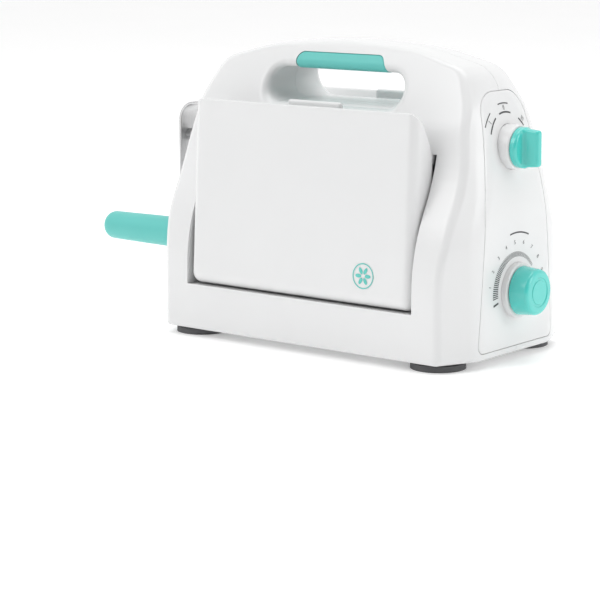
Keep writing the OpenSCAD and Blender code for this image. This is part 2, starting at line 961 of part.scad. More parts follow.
function door_outline() = rounded([
    [door_lean_y - 3.5, door_top, 3],
    [door_lean_y - 11.5, door_top - 13, 40],
    [door_back_y, door_top - 31.5, 30],
    [door_back_y, 62, 2],
    [hinge_y - nose_r, 62, 2],
    [hinge_y - nose_r, door_bottom, nose_r - 0.6],
    [hinge_y + nose_r, door_bottom, nose_r - 0.6],
    [door_lean_y, door_top, 1.2]]);

function door_hollow() = rounded([
    [door_back_y - 10, 64.5, 0],
    [hinge_y + nose_r - door_wall - 0.6, 64.5, 2],
    [door_lean_y - door_wall + 0.2, door_top - 9, 1],
    [door_back_y + door_wall, door_top - 31.7, 20],
    [door_back_y + door_wall, liner_top + 0.2, 0],
    [door_back_y - 10, liner_top + 0.2, 0]]);

// moulded cover with a raised finger tab and a catch that clicks into the casing
module door_cover() {
    difference() {
        union() {
            prism_x(-door_half, door_half) polygon(door_outline());
            prism_x(-27, 27) polygon(rounded([
                [62, 166, 0], [62, 202, 3], [56.8, 202, 2], [56.8, 166, 0]]));
            prism_x(-12, 12) polygon([[57, 188], [57, 191], [45.5, 191], [45.5, 189.5]]);
        }
        prism_x(-door_half + door_wall, door_half - door_wall) polygon(door_hollow());
        rod(-beyond, beyond, hinge_pin_d + 2 * running, hinge_z, hinge_y);
    }
}

module door_liner() {
    half = door_half - door_wall - 0.2;
    prism_x(-half, half) polygon([
        [door_back_y, 64.7], [door_back_y + liner_thick, 64.7],
        [door_back_y + liner_thick, liner_top], [door_back_y, liner_top]]);
}

module front_door() {
    color(white) placed() mirror([0, 1, 0]) door_cover();
}

module front_door_liner() {
    color(white) placed() mirror([0, 1, 0]) door_liner();
}

module rear_door() {
    color(white) placed() door_cover();
}

module rear_door_liner() {
    color(white) placed() door_liner();
}

front_shell();
rear_shell();
left_side_panel();
right_side_panel();
handle_grip();
feet();
foot_screws();
shell_screws();
base_plate();
left_frame_plate();
right_frame_plate();
tie_rods();
frame_screws();
crank_gear_plate();
dial_gear_plate();
plate_spacers();
front_inner_panel();
rear_inner_panel();
hinge_pins();
platform_bed();
roller_bushes();
crank_bushes();
idler_axle();
transfer_axle();
axle_clip();
selector_collar();
dial_collar();
crank_shaft();
crank_pinion();
crank_hub();
crank_arm();
crank_bolt();
grip_spindle();
crank_grip();
idler_gear();
lower_roller();
lower_roller_shaft();
lower_roller_gear();
bearing_blocks();
carriage_tie_bars();
pressure_springs();
upper_roller();
upper_roller_shaft();
preload_frame();
selector_knob();
selector_shaft();
selector_cams();
dial_knob();
dial_shaft();
dial_gear();
transfer_gear();
fine_camshaft();
fine_cams();
fine_cam_gear();
front_door();
front_door_liner();
rear_door();
rear_door_liner();
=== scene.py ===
"""Looks of the die cutting machine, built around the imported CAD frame.

Lengths below are millimetres in the machine's own frame: x from the middle of the casing,
y from the middle plane with the front at -y, z from the table. Objects are made in metres.
"""

import json
import math

import bmesh
import bpy
import numpy as np
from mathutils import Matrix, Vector


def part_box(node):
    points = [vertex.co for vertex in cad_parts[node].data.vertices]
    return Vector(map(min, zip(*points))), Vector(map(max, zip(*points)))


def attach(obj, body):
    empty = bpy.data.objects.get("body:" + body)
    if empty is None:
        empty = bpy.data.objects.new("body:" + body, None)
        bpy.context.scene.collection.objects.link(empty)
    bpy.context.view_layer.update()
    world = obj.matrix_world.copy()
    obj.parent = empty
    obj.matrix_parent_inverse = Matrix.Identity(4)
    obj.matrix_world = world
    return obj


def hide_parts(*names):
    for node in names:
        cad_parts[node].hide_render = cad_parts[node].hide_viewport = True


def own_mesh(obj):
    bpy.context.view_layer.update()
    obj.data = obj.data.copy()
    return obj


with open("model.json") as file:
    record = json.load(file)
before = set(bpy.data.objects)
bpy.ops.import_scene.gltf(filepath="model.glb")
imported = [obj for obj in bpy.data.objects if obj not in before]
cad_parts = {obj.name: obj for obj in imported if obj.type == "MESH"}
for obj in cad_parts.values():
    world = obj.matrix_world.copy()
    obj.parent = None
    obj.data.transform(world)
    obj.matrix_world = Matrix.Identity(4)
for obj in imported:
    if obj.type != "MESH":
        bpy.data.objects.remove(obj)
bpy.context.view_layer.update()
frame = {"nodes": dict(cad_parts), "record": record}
nodes = frame["nodes"]


# ---- places read from the frame ----

def box_mm(node):
    """Lowest and highest corner of a CAD node, in millimetres in the row frame."""
    low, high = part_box(node)
    return np.array(low) * 1000, np.array(high) * 1000


def middle(node):
    """Centre of a CAD node in the machine's own frame."""
    low, high = box_mm(node)
    return (low + high) / 2 - SHIFT


def low(node):
    """Lowest corner of a CAD node in the machine's own frame."""
    return box_mm(node)[0] - SHIFT


def high(node):
    """Highest corner of a CAD node in the machine's own frame."""
    return box_mm(node)[1] - SHIFT


SHIFT = np.zeros(3)
SHIFT[0] = (box_mm("front_shell")[0][0] + box_mm("front_shell")[1][0]) / 2

HALF_DEPTH = high("rear_shell")[1]
HALF_WIDTH = high("front_shell")[0]
BODY_BOTTOM = low("front_shell")[2]
BODY_TOP = high("front_shell")[2]
WALL = 3.0
SPLIT_GAP = 0.15  # half the gap between the two shells
PANEL_PROUD = 0.2  # how far the side panels stand out of the casing
GRIP_GAP = 0.12  # between the grip and the casing
GRIP_PROUD = 0.5  # how far the grip's sleeve reaches into the finger opening
PRINT_DEPTH = 0.32  # height of the printed marks over the casing's surface
BAND_ANGLE = math.radians(25.2)

CRANK_Z = middle("crank_bolt")[2]
SELECTOR_Z = middle("selector_collar")[2]
DIAL_Z = middle("dial_collar")[2]
GRIP_Z = middle("crank_grip")[2]
SELECTOR_COLLAR_R = high("selector_collar")[1]
DIAL_COLLAR_R = high("dial_collar")[1]
HINGE_Z = middle("hinge_pins")[2]
HINGE_Y = high("hinge_pins")[1] - 2.5
DOOR_HALF = high("front_door")[0]
DOOR_BACK = low("rear_door_liner")[1]
DOOR_TOP = 199.5
DOOR_LEAN = 77.9
NOSE_R = HALF_DEPTH + 0.5 - HINGE_Y
DOOR_BOTTOM = HINGE_Z - NOSE_R
RECESS_HALF = DOOR_HALF + 1.8
RECESS_FLOOR = DOOR_BOTTOM - 0.8
RECESS_TOP = 158.0
OPENING_HALF = 68.5
HANDLE_HEIGHT = 24.6
OPENING_HEIGHT = 28.0
OPENING_BOTTOM = BODY_TOP - HANDLE_HEIGHT - OPENING_HEIGHT
OPENING_TOP = OPENING_BOTTOM + OPENING_HEIGHT


# ---- outlines ----

def rounded(points, step=4.0):
    """Closed outline through [across, up, radius] vertices, with an arc at each vertex."""
    out = []
    count = len(points)
    for i in range(count):
        before, at, after = (np.array(points[(i + k) % count][:2], float) for k in (-1, 0, 1))
        r = points[i][2]
        a = (before - at) / np.linalg.norm(before - at)
        b = (after - at) / np.linalg.norm(after - at)
        if r == 0 or np.linalg.norm(a + b) < 1e-3:
            out.append(at)
            continue
        half = math.acos(np.clip(a @ b, -1, 1)) / 2
        centre = at + (a + b) / np.linalg.norm(a + b) * r / math.sin(half)
        start = at + a * r / math.tan(half) - centre
        end = at + b * r / math.tan(half) - centre
        first = math.atan2(start[1], start[0])
        turn = (math.atan2(end[1], end[0]) - first + math.pi) % (2 * math.pi) - math.pi
        steps = max(1, math.ceil(abs(math.degrees(turn)) / step))
        for k in range(steps + 1):
            angle = first + turn * k / steps
            out.append(centre + r * np.array([math.cos(angle), math.sin(angle)]))
    return np.array(out)


def both_halves(half):
    """Closes a right-hand half outline, listed from the bottom up, with its mirror image."""
    return half + [[-p[0], p[1], p[2]] for p in reversed(half)]


SIDE = both_halves([[HALF_DEPTH, BODY_BOTTOM, 2.5], [HALF_DEPTH, 92, 130], [57.6, 146.5, 150],
                    [47.9, 187.7, 80], [20.1, BODY_TOP, 15]])
FRONT = both_halves([[HALF_WIDTH, 0, 0], [154.6, 130, 200], [146, 184, 100], [132, 230, 30],
                     [62, BODY_TOP - 2.6, 100], [10, BODY_TOP + 0.8, 100]])
BAND = both_halves([[163.3, 0, 0], [163.3, 100, 120], [151.5, 160, 150], [140.5, 200, 60],
                    [121, 232, 30], [83, 243.5, 50], [20, BODY_TOP + 1.5, 30]])
PANEL = both_halves([[52.5, 12.5, 6], [42.5, 125, 150], [27.5, 213.5, 21]])


class Outline:
    """Signed distance to a closed outline, negative inside, read off a fine table."""

    def __init__(self, points, cell=0.75, margin=14):
        points = np.asarray(points, float)
        self.cell = cell
        self.low = points.min(0) - margin
        size = np.ceil((points.max(0) + margin - self.low) / cell).astype(int) + 1
        u = self.low[0] + cell * np.arange(size[0])[:, None]
        v = self.low[1] + cell * np.arange(size[1])[None, :]
        nearest = np.full(size, 1e9)
        inside = np.zeros(size, bool)
        for p, q in zip(points, np.roll(points, -1, 0)):
            d = q - p
            t = np.clip(((u - p[0]) * d[0] + (v - p[1]) * d[1]) / max(d @ d, 1e-12), 0, 1)
            near = (u - p[0] - t * d[0]) ** 2 + (v - p[1] - t * d[1]) ** 2
            nearest = np.minimum(nearest, near)
            if p[1] != q[1]:
                crosses = (p[1] > v) != (q[1] > v)
                inside ^= crosses & (u < (q[0] - p[0]) * (v - p[1]) / (q[1] - p[1]) + p[0])
        self.table = np.where(inside, -1, 1) * np.sqrt(nearest)

    def __call__(self, u, v):
        size = self.table.shape
        i = np.clip((u - self.low[0]) / self.cell, 0, size[0] - 1.001)
        j = np.clip((v - self.low[1]) / self.cell, 0, size[1] - 1.001)
        a, b = i.astype(int), j.astype(int)
        s, t = i - a, j - b
        table = self.table
        return ((table[a, b] * (1 - s) + table[a + 1, b] * s) * (1 - t)
                + (table[a, b + 1] * (1 - s) + table[a + 1, b + 1] * s) * t)


def round_max(a, b, r):
    """Where both a and b are solid, with the edge between them rounded to radius r."""
    return np.minimum(np.maximum(a, b), -r) + np.hypot(np.maximum(a + r, 0),
                                                       np.maximum(b + r, 0))


def round_min(a, b, r):
    """Where a or b is solid, with the corner between them filled to radius r."""
    return -round_max(-a, -b, r)


# ---- meshes ----

def net(field, low_corner, high_corner, step):
    """Closed quad mesh of field(x, y, z) = 0 inside a box, with its points on the surface."""
    low_corner = np.array(low_corner, float) - 1.37 * step
    high_corner = np.array(high_corner, float) + 1.37 * step
    size = np.ceil((high_corner - low_corner) / step).astype(int) + 1
    axes = [low_corner[k] + step * np.arange(size[k]) for k in range(3)]
    value = np.broadcast_to(field(axes[0][:, None, None], axes[1][None, :, None],
                                  axes[2][None, None, :]), tuple(size))
    inside = value < 0
    count = np.zeros(tuple(size - 1), np.int8)
    corners = [(i, j, k) for i in (0, 1) for j in (0, 1) for k in (0, 1)]
    for i, j, k in corners:
        count += inside[i:size[0] - 1 + i, j:size[1] - 1 + j, k:size[2] - 1 + k]
    cell = np.argwhere((count > 0) & (count < 8))
    index = np.full(tuple(size - 1), -1, np.int64)
    index[tuple(cell.T)] = np.arange(len(cell))
    total = np.zeros((len(cell), 3))
    crossings = np.zeros(len(cell))
    for a in corners:
        for axis in range(3):
            if a[axis]:
                continue
            b = list(a)
            b[axis] = 1
            va = value[tuple((cell + a).T)]
            vb = value[tuple((cell + b).T)]
            cut = (va < 0) != (vb < 0)
            t = np.where(cut, va / np.where(cut, va - vb, 1), 0)
            point = np.array(a, float)[None, :].repeat(len(cell), 0)
            point[:, axis] += t
            total += np.where(cut[:, None], point, 0)
            crossings += cut
    points = low_corner + step * (cell + total / crossings[:, None])
    points = settle(field, points, step)
    quads = []
    for axis in range(3):
        other = [k for k in range(3) if k != axis]
        first = [slice(None)] * 3
        second = [slice(None)] * 3
        first[axis], second[axis] = slice(0, -1), slice(1, None)
        start, end = inside[tuple(first)], inside[tuple(second)]
        edge = np.argwhere(start != end)
        edge = edge[(edge[:, other[0]] > 0) & (edge[:, other[1]] > 0)]
        ring = []
        for du, dv in ((0, 0), (-1, 0), (-1, -1), (0, -1)):
            at = edge.copy()
            at[:, other[0]] += du
            at[:, other[1]] += dv
            ring.append(index[tuple(at.T)])
        ring = np.stack(ring, 1)
        outward = start[tuple(edge.T)]
        if axis == 1:
            outward = ~outward
        ring[~outward] = ring[~outward][:, ::-1]
        quads.append(ring)
    return points, np.concatenate(quads)


def slope(field, points, h):
    """Gradient of a field at points, by central differences."""
    out = np.zeros_like(points)
    for axis in range(3):
        d = np.zeros(3)
        d[axis] = h
        up, down = points + d, points - d
        out[:, axis] = (field(*up.T) - field(*down.T)) / (2 * h)
    return out


def settle(field, points, step):
    """Moves points along the slope of the field onto its surface."""
    start = points.copy()
    for _ in range(3):
        g = slope(field, points, 0.25 * step)
        square = np.maximum((g * g).sum(1), 0.05)
        points = points - (field(*points.T) / square)[:, None] * g
    far = np.linalg.norm(points - start, axis=1) > step
    points[far] = start[far]
    return points


def build(name, points, faces, smooth=True):
    """A Blender object from points in millimetres in the machine's frame."""
    mesh = bpy.data.meshes.new(name)
    points = (np.asarray(points, float) + SHIFT) * 0.001
    faces = list(faces) if not isinstance(faces, np.ndarray) else faces.tolist()
    mesh.from_pydata(points.tolist(), [], faces)
    mesh.validate()
    obj = bpy.data.objects.new(name, mesh)
    bpy.context.collection.objects.link(obj)
    if smooth:
        shade(obj)
    return obj


def shade(obj, angle=32.0):
    """Smooth shading, with edges sharper than the angle kept sharp."""
    mesh = obj.data
    mesh.polygons.foreach_set("use_smooth", np.ones(len(mesh.polygons), bool))
    mesh.set_sharp_from_angle(angle=math.radians(angle))


def prism(points, axis, start, end, name="cutter"):
    """A straight solid with an outline across one axis. The outline is [y, z] along x, and
    [x, z] along y."""
    points = np.asarray(points, float)
    area = 0.5 * np.sum(points[:, 0] * np.roll(points[:, 1], -1)
                        - np.roll(points[:, 0], -1) * points[:, 1])
    if area < 0:
        points = points[::-1]
    n = len(points)
    solid = np.zeros((2 * n, 3))
    for k, at in enumerate((start, end)):
        part = solid[k * n:(k + 1) * n]
        if axis == "x":
            part[:] = np.stack([np.full(n, at), points[:, 0], points[:, 1]], 1)
        else:
            part[:] = np.stack([points[:, 0], np.full(n, at), points[:, 1]], 1)
    faces = [list(range(n)), list(range(2 * n - 1, n - 1, -1))]
    faces += [[i, n + i, n + (i + 1) % n, (i + 1) % n] for i in range(n)]
    if axis == "x":
        faces = [face[::-1] for face in faces]
    return build(name, solid, faces, smooth=False)


def slab(x0, x1, y0, y1, z0, z1):
    """A cutting block."""
    return prism([[x0, z0], [x1, z0], [x1, z1], [x0, z1]], "y", y0, y1)


def lathe(name, profile, y, z, around=96):
    """A solid turned about an axis along x, from a closed [x, r] profile."""
    profile = np.asarray(profile, float)
    n = len(profile)
    angle = np.arange(around) * 2 * math.pi / around
    points = []
    for x, r in profile:
        points.append(np.stack([np.full(around, x), y + r * np.cos(angle),
                                z + r * np.sin(angle)], 1))
    points = np.concatenate(points)
    faces = []
    for i in range(n):
        for k in range(around):
            a, b = i * around, (i + 1) % n * around
            m = (k + 1) % around
            faces.append([a + k, a + m, b + m, b + k])
    obj = build(name, points, faces, smooth=False)
    weld(obj)
    shade(obj)
    return obj


def weld(obj, distance=2e-6):
    """Merges points that lie together, such as those on a lathe's axis."""
    work = bmesh.new()
    work.from_mesh(obj.data)
    bmesh.ops.remove_doubles(work, verts=work.verts, dist=distance)
    bmesh.ops.recalc_face_normals(work, faces=work.faces)
    work.to_mesh(obj.data)
    work.free()


def cut(obj, other, operation="DIFFERENCE"):
    """Cuts obj by another closed mesh, or keeps only what they share."""
    step = obj.modifiers.new("cut", "BOOLEAN")
    step.operation = operation
    step.solver = "MANIFOLD"
    step.object = other
    graph = bpy.context.evaluated_depsgraph_get()
    mesh = bpy.data.meshes.new_from_object(obj.evaluated_get(graph))
    obj.modifiers.clear()
    old = obj.data
    obj.data = mesh
    bpy.data.meshes.remove(old)
    bpy.data.objects.remove(other)


def copy_of(obj, name):
    twin = obj.copy()
    twin.data = obj.data.copy()
    twin.name = name
    bpy.context.collection.objects.link(twin)
    return twin


def mirrored(obj, name, axis=1):
    """A mirror image of a finished piece across a middle plane."""
    twin = copy_of(obj, name)
    count = len(twin.data.vertices)
    co = np.zeros(count * 3)
    twin.data.vertices.foreach_get("co", co)
    co = co.reshape(-1, 3)
    if axis == 1:
        co[:, 1] *= -1
    else:
        co[:, 0] = 2 * SHIFT[0] * 0.001 - co[:, 0]
    twin.data.vertices.foreach_set("co", co.ravel())
    twin.data.flip_normals()
    shade(twin)
    return twin


def finish_piece(obj, material, body, slot, *replaced):
    """Gives a piece its material and body, and hides the CAD nodes it stands for. The slot
    argument is not used.
    """
    obj.data.materials.clear()
    obj.data.materials.append(material)
    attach(obj, body)
    if replaced:
        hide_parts(*replaced)


# ---- materials ----

class Shader:
    """A principled material whose colour, roughness and bump come from nodes."""

    def __init__(self, name):
        self.material = bpy.data.materials.new(name)
        self.material.use_nodes = True
        self.tree = self.material.node_tree
        self.shader = self.tree.nodes["Principled BSDF"]
        place = self.tree.nodes.new("ShaderNodeTexCoord")
        self.place = place.outputs["Object"]

    def link(self, a, b):
        self.tree.links.new(a, b)

    def node(self, kind, **values):
        made = self.tree.nodes.new(kind)
        for key, value in values.items():
            if hasattr(made, key):
                setattr(made, key, value)
            else:
                made.inputs[key.replace("_", " ")].default_value = value
        return made

    def noise(self, scale, detail=3.0, stretch=(1, 1, 1), rough=0.5):
        mapping = self.node("ShaderNodeMapping")
        mapping.inputs["Scale"].default_value = stretch
        self.link(self.place, mapping.inputs["Vector"])
        noise = self.node("ShaderNodeTexNoise")
        noise.inputs["Scale"].default_value = scale
        noise.inputs["Detail"].default_value = detail
        noise.inputs["Roughness"].default_value = rough
        self.link(mapping.outputs["Vector"], noise.inputs["Vector"])
        return noise.outputs["Fac"]

    def ramp(self, value, low_value, high_value, a=0.3, b=0.7):
        """Maps a value that runs from a to b onto a range."""
        made = self.node("ShaderNodeMapRange")
        made.inputs["From Min"].default_value = a
        made.inputs["From Max"].default_value = b
        made.inputs["To Min"].default_value = low_value
        made.inputs["To Max"].default_value = high_value
        self.link(value, made.inputs["Value"])
        return made.outputs["Result"]

    def mix(self, amount, first, second):
        made = self.node("ShaderNodeMix", data_type="RGBA")
        made.inputs["A"].default_value = (*first, 1) if not hasattr(first, "node") else (0,) * 4
        made.inputs["B"].default_value = (*second, 1)
        if hasattr(first, "node"):
            self.link(first, made.inputs["A"])
        self.link(amount, made.inputs["Factor"])
        return made.outputs["Result"]

    def bump(self, heights, distance, strength=0.5):
        """Adds the bump of each height, one on the other."""
        last = None
        for height, far, amount in zip(heights, distance, strength):
            made = self.node("ShaderNodeBump")
            made.inputs["Distance"].default_value = far
            made.inputs["Strength"].default_value = amount
            self.link(height, made.inputs["Height"])
            if last:
                self.link(last, made.inputs["Normal"])
            last = made.outputs["Normal"]
        self.link(last, self.shader.inputs["Normal"])

    def colour(self, output):
        self.link(output, self.shader.inputs["Base Color"])

    def roughness(self, output):
        self.link(output, self.shader.inputs["Roughness"])


def moulded(name, light, dark, rough=(0.22, 0.34), grain=0.000012, peel=0.00002, coat=0.0):
    """Moulded plastic: faint mottling, an orange-peel ripple and a fine grain."""
    made = Shader(name)
    made.colour(made.mix(made.ramp(made.noise(9, 2), 0, 1, 0.25, 0.75), dark, light))
    made.roughness(made.ramp(made.noise(30, 3), *rough))
    made.bump([made.noise(160, 1), made.noise(1600, 2)], [peel, grain], [0.4, 0.4])
    made.shader.inputs["Coat Weight"].default_value = coat
    made.shader.inputs["Coat Roughness"].default_value = 0.12
    made.shader.inputs["IOR"].default_value = 1.5
    return made.material


def brushed(name, light, dark, stretch, rough=(0.26, 0.42), scratch=0.00003):
    """Metal brushed or ground in one direction, with a few deeper scratches."""
    made = Shader(name)
    lines = made.noise(90, 6, stretch, 0.65)
    fine = made.noise(420, 3, stretch, 0.6)
    smudge = made.noise(22, 4)
    made.colour(made.mix(made.ramp(lines, 0, 1), dark, light))
    blend = made.node("ShaderNodeMath", operation="ADD")
    made.link(made.ramp(lines, rough[0], rough[1]), blend.inputs[0])
    made.link(made.ramp(smudge, -0.04, 0.06), blend.inputs[1])
    made.roughness(blend.outputs[0])
    made.bump([lines, fine], [scratch, scratch], [0.35, 0.3])
    made.shader.inputs["Metallic"].default_value = 1.0
    return made.material


def zinc_plated(name):
    """Bright zinc: a faint crystal pattern and a blue-grey to straw tint."""
    made = Shader(name)
    cells = made.node("ShaderNodeTexVoronoi")
    cells.inputs["Scale"].default_value = 160
    made.link(made.place, cells.inputs["Vector"])
    tint = made.mix(made.ramp(made.noise(18, 3), 0, 1), (0.56, 0.58, 0.60), (0.66, 0.65, 0.61))
    made.colour(made.mix(made.ramp(cells.outputs["Distance"], 0, 0.25, 0, 1), tint,
                         (0.48, 0.50, 0.54)))
    made.roughness(made.ramp(made.noise(70, 4), 0.28, 0.42))
    made.bump([made.noise(900, 3)], [0.00002], [0.4])
    made.shader.inputs["Metallic"].default_value = 1.0
    return made.material


WHITE = moulded("casing_white", (0.755, 0.758, 0.760), (0.736, 0.739, 0.741), (0.20, 0.27))
INNER = moulded("inner_white", (0.66, 0.663, 0.665), (0.62, 0.623, 0.625), (0.42, 0.55),
                grain=0.00006)
MINT = moulded("mint_plastic", (0.078, 0.595, 0.540), (0.068, 0.565, 0.510), (0.15, 0.22),
               grain=0.00001, coat=0.5)
MINT_SOFT = moulded("mint_soft", (0.122, 0.540, 0.500), (0.104, 0.500, 0.460), (0.33, 0.45),
                    grain=0.00004)
RUBBER = moulded("rubber_foot", (0.108, 0.110, 0.113), (0.080, 0.081, 0.084), (0.6, 0.8),
                 grain=0.0001)
INK = moulded("grey_print", (0.060, 0.062, 0.066), (0.045, 0.047, 0.050), (0.4, 0.55))
MINT_INK = moulded("mint_print", (0.12, 0.56, 0.50), (0.10, 0.53, 0.47), (0.35, 0.45))
ACETAL = moulded("acetal_grey", (0.060, 0.062, 0.066), (0.045, 0.047, 0.050), (0.35, 0.5),
                 grain=0.00004)
STEEL_Z = brushed("brushed_steel_z", (0.66, 0.66, 0.66), (0.50, 0.50, 0.505), (14, 14, 0.5))
STEEL_X = brushed("ground_steel_x", (0.58, 0.585, 0.59), (0.42, 0.425, 0.43), (0.5, 14, 14))
STEEL_Y = brushed("brushed_steel_y", (0.62, 0.62, 0.625), (0.47, 0.47, 0.475), (14, 0.5, 14))
ZINC = zinc_plated("zinc_plate")
BRONZE = brushed("bronze", (0.62, 0.42, 0.18), (0.47, 0.30, 0.12), (3, 3, 3), (0.3, 0.45))

CAD_FINISH = {
    "ground_steel": STEEL_X,
    "brushed_steel": STEEL_Y,
    "zinc_plate": ZINC,
    "bronze": BRONZE,
    "acetal_grey": ACETAL,
    "inner_white": INNER,
    "casing_white": WHITE,
    "mint_soft": MINT_SOFT,
    "rubber_foot": RUBBER,
}


def dress_cad_nodes():
    """Gives every carried-over CAD node its procedural material."""
    for part in frame["record"]["subparts"]:
        node = nodes[part["node"]]
        material = CAD_FINISH[part["material_slot"]]
        for place in node.material_slots:
            place.material = material
        if not node.material_slots:
            node.data.materials.append(material)


# ---- casing ----

side_distance = Outline(rounded(SIDE))
front_distance = Outline(rounded(FRONT))
band_distance = Outline(rounded(BAND))
panel_distance = Outline(rounded(PANEL))
opening_distance = Outline(rounded([
    [-OPENING_HALF, OPENING_BOTTOM, 13.4], [OPENING_HALF, OPENING_BOTTOM, 13.4],
    [OPENING_HALF, OPENING_TOP, 13.4], [-OPENING_HALF, OPENING_TOP, 13.4]]), margin=60, cell=1)


def casing(x, y, z):
    """The casing without its finger opening."""
    x, y = np.abs(x), np.abs(y)
    across = x * math.cos(BAND_ANGLE) + y * math.sin(BAND_ANGLE)
    corner = round_max(side_distance(y, z), band_distance(across, z), 4.5)
    return round_max(corner, front_distance(x, z), 4)


def casing_open(x, y, z):
    """The casing with its finger opening, softened where the two meet."""
    return round_max(casing(x, y, z), -opening_distance(x, z), 7)


def casing_hollow(x, y, z):
    """The space inside the casing walls."""
    return np.maximum(casing(x, y, z) + WALL, WALL - opening_distance(x, z))


def grip_outline(grow=0.0):
    """Front view of the soft grip, grown by a gap."""
    half = 47 + grow
    top = OPENING_TOP + 13.4 + grow
    return rounded([[-half + 3, OPENING_TOP - 22, 2], [half + 2, OPENING_TOP - 22, 2],
                    [half + 1.5, OPENING_TOP + 1, 8], [half - 5, top, 6],
                    [-half - 2, top, 8], [-half + 3, OPENING_TOP + 2, 8]])


def make_casing():
    """Both shells, cut from one skin and one hollow."""
    reach = (HALF_WIDTH, HALF_DEPTH, BODY_TOP)
    skin = build("skin", *net(casing_open, (-reach[0], -reach[1], BODY_BOTTOM), reach, 1.3))
    hollow = build("hollow", *net(casing_hollow, (-reach[0], -reach[1], BODY_BOTTOM), reach, 2.6))
    cut(skin, hollow)
    for sign in (-1, 1):
        ends = sorted((sign * 133, sign * 220))
        grown = rounded(both_halves([[52.75, 12.25, 6], [42.75, 125, 150],
                                     [27.75, 213.75, 21]]), 3)
        cut(skin, prism(grown, "x", *ends))
        recess = sorted((sign * 50, sign * 120))
        cut(skin, slab(-RECESS_HALF, RECESS_HALF, *recess, RECESS_FLOOR, RECESS_TOP))
        catch = sorted((sign * 30, sign * 60))
        cut(skin, slab(-14, 14, *catch, 186, 193))
        relief = sorted((sign * 40, sign * 120))
        for side in (-1, 1):
            ends = sorted((side * (DOOR_HALF - 2), side * RECESS_HALF))
            cut(skin, slab(*ends, *relief, RECESS_TOP - 1, RECESS_TOP + 8))
    cut(skin, prism(grip_outline(GRIP_GAP), "y", -80, 80))
    rear = copy_of(skin, "rear_casing")
    cut(rear, slab(-200, 200, SPLIT_GAP, 120, -10, 300), "INTERSECT")
    for x, z in ((126, 19.5), (122, 190)):
        for side in (-1, 1):
            hole = [[side * x + 3.9 * math.cos(a), z + 3.9 * math.sin(a)]
                    for a in np.arange(32) * math.pi / 16]
            cut(rear, prism(hole, "y", 6, 120))
    front = skin
    front.name = "front_casing"
    cut(front, slab(-200, 200, -120, -SPLIT_GAP, -10, 300), "INTERSECT")
    for shell, node in ((front, "front_shell"), (rear, "rear_shell")):
        shade(shell)
        finish_piece(shell, WHITE, "casing", "casing_white", node)


def side_panel_field(x, y, z):
    """A side panel: the casing's own surface, a little proud, with rounded edges."""
    outer = casing(x, y, z) - PANEL_PROUD
    edge = panel_distance(np.abs(y), z)
    face = round_max(outer, edge, 0.9)
    return np.maximum(face, -(casing(x, y, z) + WALL))


def make_side_panels():
    """Both side panels, the right one with holes for the collars, the left for the crank."""
    panel = build("right_panel", *net(side_panel_field, (131, -54, 11), (158, 54, 215), 1.1))
    left = mirrored(panel, "left_panel", axis=0)
    circle = np.arange(72) * math.pi / 36
    for z, r in ((SELECTOR_Z, SELECTOR_COLLAR_R + 0.15), (DIAL_Z, DIAL_COLLAR_R + 0.15)):
        cut(panel, prism(np.stack([r * np.cos(circle), z + r * np.sin(circle)], 1), "x", 100, 200))
    cut(left, prism(np.stack([11.1 * np.cos(circle), CRANK_Z + 11.1 * np.sin(circle)], 1),
                    "x", -200, -100))
    for obj, node in ((panel, "right_side_panel"), (left, "left_side_panel")):
        shade(obj)
        finish_piece(obj, WHITE, "casing", "casing_white", node)


def make_handle_grip():
    """The soft sleeve over the handle."""
    grip_distance = Outline(grip_outline(), cell=0.6, margin=8)

    def field(x, y, z):
        body = round_max(casing(x, y, z), -(opening_distance(x, z) + GRIP_PROUD), 8)
        return round_max(body, grip_distance(x, z), 1.4)

    grip = build("handle_soft_grip", *net(field, (-52, -40, OPENING_TOP - 2), (52, 40, 243), 0.9))
    finish_piece(grip, MINT_SOFT, "casing", "mint_soft", "handle_grip")


# ---- doors, made on the +y side ----

FACE = [[DOOR_LEAN, DOOR_TOP, 1.2], [-30, DOOR_TOP, 0], [-30, DOOR_BOTTOM, 0],
        [HINGE_Y + NOSE_R, DOOR_BOTTOM, NOSE_R - 0.6]]
DOOR = [[DOOR_LEAN - 3.5, DOOR_TOP, 3], [DOOR_LEAN - 11.5, DOOR_TOP - 13, 40],
        [DOOR_BACK, DOOR_TOP - 31.5, 30],
        [DOOR_BACK, 62, 2], [HINGE_Y - NOSE_R, 62, 2],
        [HINGE_Y - NOSE_R, DOOR_BOTTOM, NOSE_R - 0.6],
        [HINGE_Y + NOSE_R, DOOR_BOTTOM, NOSE_R - 0.6], [DOOR_LEAN, DOOR_TOP, 1.2]]
LINER_TOP = high("rear_door_liner")[2]
HOLLOW = [[DOOR_BACK - 10, 64.5, 0], [HINGE_Y + NOSE_R - 3.6, 64.5, 2],
          [DOOR_LEAN - 2.8, DOOR_TOP - 9, 1], [DOOR_BACK + 3, DOOR_TOP - 31.7, 20],
          [DOOR_BACK + 3, LINER_TOP + 0.2, 0], [DOOR_BACK - 10, LINER_TOP + 0.2, 0]]


